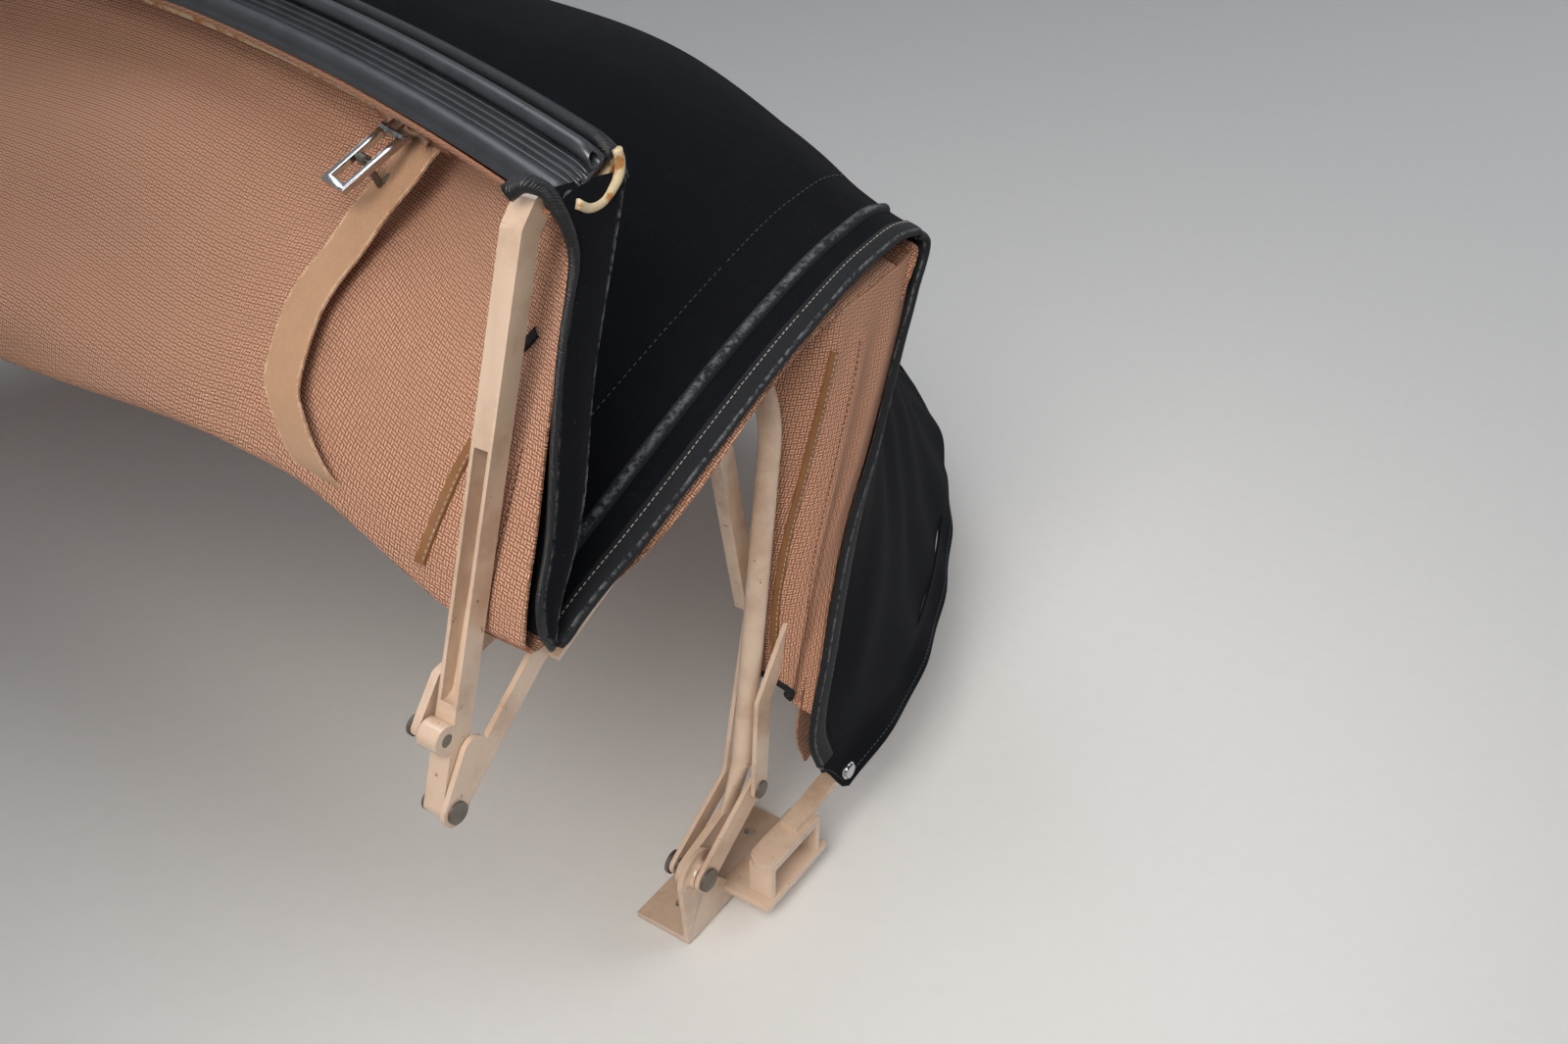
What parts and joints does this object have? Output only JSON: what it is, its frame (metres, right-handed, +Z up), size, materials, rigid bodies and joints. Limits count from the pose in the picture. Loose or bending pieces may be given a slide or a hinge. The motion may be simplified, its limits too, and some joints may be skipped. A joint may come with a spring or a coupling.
{
  "type": "convertible folding soft top",
  "caption": "Folding fabric soft top of an open two-seater with its steel frame, header and latches, half folded, bolted to the body at its main pivots.",
  "frame": {"origin": "centre of the four body bolts, on the plane that the two brackets clamp to", "axes": "+X to the car's left, -Y forward, +Z up"},
  "size_m": [1.325, 0.9671, 0.6544],
  "materials": {
    "steel_paint": "glossy beige enamel, chipped, with rust spots",
    "bare_steel": "dull zinc, greasy",
    "bright_metal": "bright plated, lightly worn",
    "header_wood": "pale raw wood with brown glue stains",
    "seal_rubber": "weathered grey rubber, black in the grooves",
    "canvas": "black twill outer cover, worn grey at the edges",
    "lining": "tan woven lining",
    "webbing": "tan webbing",
    "window": "clear flexible sheet, slightly hazy"
  },
  "bodies": {
    "root": {"bracket_left": "steel_paint", "bracket_right": "steel_paint", "main_pins": "bare_steel", "rear_bow": "steel_paint", "back_canvas": "canvas", "back_lining": "lining", "rear_window": "window", "skirt": "canvas", "snap_fasteners": "bright_metal"},
    "crest_bow_body": {"crest_bow": "steel_paint", "crest_arm_left": "steel_paint", "crest_arm_right": "steel_paint", "crest_rivets": "bare_steel"},
    "main_bow_body": {"main_bow": "steel_paint", "rear_rail_left": "steel_paint", "rear_rail_right": "steel_paint", "shoulder_pins": "bare_steel", "rear_canvas": "canvas", "rear_lining": "lining"},
    "centre_rails_body": {"centre_rail_left": "steel_paint", "centre_rail_right": "steel_paint", "elbow_pins": "bare_steel"},
    "front_frame": {"front_rail_left": "steel_paint", "front_rail_right": "steel_paint", "header": "header_wood", "header_seal": "seal_rubber", "latch_block_left": "lining", "latch_block_right": "lining", "latch_base_left": "bright_metal", "latch_base_right": "bright_metal", "front_canvas": "canvas", "front_lining": "lining", "strap_left": "webbing", "strap_right": "webbing", "roof_bow_pins": "bare_steel"},
    "roof_bow_body": {"roof_bow": "steel_paint"},
    "latch_lever_left_body": {"latch_lever_left": "bright_metal"},
    "latch_lever_right_body": {"latch_lever_right": "bright_metal"},
    "latch_hook_left_body": {"latch_hook_left": "bare_steel"},
    "latch_hook_right_body": {"latch_hook_right": "bare_steel"}
  },
  "joints": [
    {"name": "crest_bow_fold", "type": "hinge", "parent": "root", "child": "crest_bow_body", "pos_m": [0, -0.055, 0.06], "axis": [1, 0, 0], "range_deg": [-45, 15], "deforming": ["back_canvas", "back_lining", "rear_window", "skirt"]},
    {"name": "main_bow_fold", "type": "hinge", "parent": "crest_bow_body", "child": "main_bow_body", "pos_m": [0, -0.055, 0.06], "axis": [1, 0, 0], "range_deg": [-14, 6], "deforming": ["rear_canvas", "rear_lining"]},
    {"name": "centre_rail_fold", "type": "hinge", "parent": "main_bow_body", "child": "centre_rails_body", "pos_m": [0, 0.007, 0.416], "axis": [-1, 0, 0], "range_deg": [-8, 48]},
    {"name": "front_rail_fold", "type": "hinge", "parent": "centre_rails_body", "child": "front_frame", "pos_m": [0, -0.251, 0.276], "axis": [1, 0, 0], "range_deg": [-18, 151.5], "deforming": ["front_canvas", "front_lining", "strap_left", "strap_right"]},
    {"name": "roof_bow_fold", "type": "hinge", "parent": "front_frame", "child": "roof_bow_body", "pos_m": [0, -0.246, 0.323], "axis": [-1, 0, 0], "range_deg": [-20, 120]},
    {"name": "latch_lever_left_turn", "type": "hinge", "parent": "front_frame", "child": "latch_lever_left_body", "pos_m": [0.43, -0.08255, 0.58325], "axis": [0.9798, -0.1803, -0.087], "range_deg": [-25, 50]},
    {"name": "latch_hook_left_turn", "type": "hinge", "parent": "latch_lever_left_body", "child": "latch_hook_left_body", "pos_m": [0.4252, -0.10373, 0.57303], "axis": [0.9798, -0.1803, -0.087], "range_deg": [-30, 60]},
    {"name": "latch_lever_right_turn", "type": "hinge", "parent": "front_frame", "child": "latch_lever_right_body", "pos_m": [-0.43, -0.08255, 0.58325], "axis": [0.9798, 0.1803, 0.087], "range_deg": [-25, 50]},
    {"name": "latch_hook_right_turn", "type": "hinge", "parent": "latch_lever_right_body", "child": "latch_hook_right_body", "pos_m": [-0.4252, -0.10373, 0.57303], "axis": [0.9798, 0.1803, 0.087], "range_deg": [-30, 60]}
  ]
}
